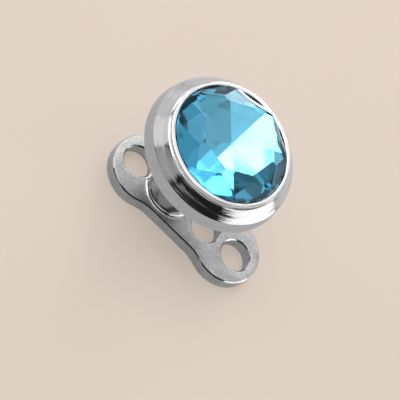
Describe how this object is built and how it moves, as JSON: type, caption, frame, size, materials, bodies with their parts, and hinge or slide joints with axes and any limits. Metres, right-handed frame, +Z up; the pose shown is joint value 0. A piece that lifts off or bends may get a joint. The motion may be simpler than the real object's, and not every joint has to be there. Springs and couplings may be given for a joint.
{
  "type": "dermal anchor with jewelled top",
  "caption": "Dermal anchor: a flat footplate with round ends and holes, a hollow post, and a screw-in round cup that holds a faceted aqua stone.",
  "frame": {"origin": "on the post's axis, at the underside of the footplate", "axes": "+Z up along the post towards the stone, +X along the footplate towards the end that has two holes"},
  "size_m": [0.0063, 0.005, 0.0049],
  "materials": {
    "tumbled_steel": "tumbled satin",
    "turned_steel": "turned and polished",
    "aqua_glass": "cut glass with a foil back"
  },
  "bodies": {
    "base": {"anchor": "tumbled_steel"},
    "top": {"cup": "turned_steel", "crystal": "aqua_glass"}
  },
  "joints": [
    {"name": "top_unscrew", "type": "slide", "parent": "base", "child": "top", "axis": [0, 0, 1], "range_m": [0, 0.0022]}
  ]
}
